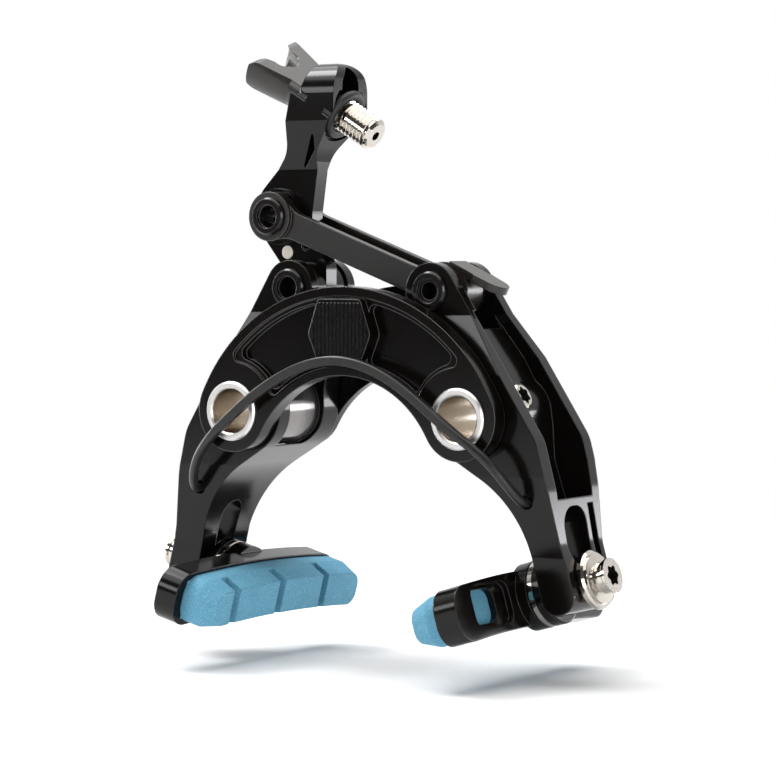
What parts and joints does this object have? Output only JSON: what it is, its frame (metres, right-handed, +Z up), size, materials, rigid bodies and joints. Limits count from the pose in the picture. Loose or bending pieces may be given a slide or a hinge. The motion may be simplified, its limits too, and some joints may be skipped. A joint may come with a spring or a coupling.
{
  "type": "direct mount caliper brake",
  "caption": "Dual pivot bicycle caliper brake for a two-bolt frame mount: arched bridge, channel-section arms, cable arm with barrel adjuster, pull link, quick release and pads in holders.",
  "frame": {"origin": "midway between the two mounting holes, on the plane that seats on the frame", "axes": "+Y along the mounting holes towards the frame, +Z up towards the cable arm, +X to the right seen from the front"},
  "size_m": [0.1114, 0.0569, 0.1224],
  "materials": {
    "black_anodised": "black anodised, satin",
    "bright_metal": "turned and polished",
    "blackened_steel": "blackened, satin",
    "blue_pad": "matt, speckled",
    "dark_plastic": "matt",
    "black_rubber": "matt"
  },
  "bodies": {
    "bridge": {"front_bridge_plate": "black_anodised", "rear_bridge_plate": "black_anodised", "return_spring": "blackened_steel", "left_mount_bush": "bright_metal", "right_mount_bush": "bright_metal", "left_front_thrust_washer": "dark_plastic", "right_front_thrust_washer": "dark_plastic", "left_rear_thrust_washer": "dark_plastic", "right_rear_thrust_washer": "dark_plastic"},
    "left_arm_body": {"left_arm": "black_anodised", "cable_arm_pivot_bolt": "blackened_steel", "cable_arm_pivot_nut": "blackened_steel", "left_arm_bearing": "dark_plastic", "left_brake_pad": "blue_pad", "left_pad_holder": "black_anodised", "left_dished_washer": "blackened_steel", "left_domed_washer": "bright_metal", "left_outer_washer": "bright_metal", "left_pad_bolt": "bright_metal"},
    "right_arm_body": {"right_arm": "black_anodised", "centring_screw": "blackened_steel", "release_pivot_bolt": "blackened_steel", "release_pivot_nut": "blackened_steel", "right_arm_bearing": "dark_plastic", "right_brake_pad": "blue_pad", "right_pad_holder": "black_anodised", "right_dished_washer": "blackened_steel", "right_domed_washer": "bright_metal", "right_outer_washer": "bright_metal", "right_pad_bolt": "bright_metal"},
    "cable_arm_body": {"cable_arm": "black_anodised", "cable_arm_bush": "dark_plastic", "stop_dowel": "bright_metal", "keeper_screw": "blackened_steel", "link_pivot_bolt": "blackened_steel", "link_pivot_nut": "blackened_steel"},
    "pull_link": {"front_link": "black_anodised", "rear_link": "black_anodised"},
    "quick_release": {"quick_release_lever": "black_anodised", "cable_clamp_screw": "blackened_steel"},
    "adjuster": {"barrel_adjuster": "bright_metal", "adjuster_o_ring": "black_rubber", "adjuster_knob": "black_anodised"}
  },
  "joints": [
    {"name": "right_arm_pivot", "type": "hinge", "parent": "bridge", "child": "right_arm_body", "pos_m": [0.028, -0.0135, 0], "axis": [0, 1, 0], "range_deg": [0, 15], "stiffness_Nm_per_rad": 0.1, "springref_deg": -17.19, "deforming": ["return_spring"]},
    {"name": "left_arm_pivot", "type": "hinge", "parent": "bridge", "child": "left_arm_body", "pos_m": [-0.028, -0.0135, 0], "axis": [0, 1, 0], "range_deg": [-15, 0], "deforming": ["return_spring"]},
    {"name": "cable_arm_pivot", "type": "hinge", "parent": "left_arm_body", "child": "cable_arm_body", "pos_m": [-0.01795, -0.014, 0.02578], "axis": [0, 1, 0], "range_deg": [0, 64.69]},
    {"name": "link_pivot", "type": "hinge", "parent": "cable_arm_body", "child": "pull_link", "pos_m": [-0.0245, -0.014, 0.0407], "axis": [0, 1, 0], "range_deg": [-49.06, 0]},
    {"name": "quick_release_pivot", "type": "hinge", "parent": "right_arm_body", "child": "quick_release", "pos_m": [0.01705, -0.014, 0.02541], "axis": [0, 1, 0], "range_deg": [-60, 0]},
    {"name": "adjuster_turn", "type": "hinge", "parent": "cable_arm_body", "child": "adjuster", "pos_m": [-0.012, -0.014, 0.0636], "axis": [0.8572, 0, -0.515], "range_deg": [-180, 180]}
  ],
  "couplings": [
    {"joint": "left_arm_pivot", "follows": "right_arm_pivot", "ratio": -1},
    {"joint": "cable_arm_pivot", "follows": "right_arm_pivot", "ratio": 4.3092},
    {"joint": "link_pivot", "follows": "right_arm_pivot", "ratio": -3.2676}
  ]
}
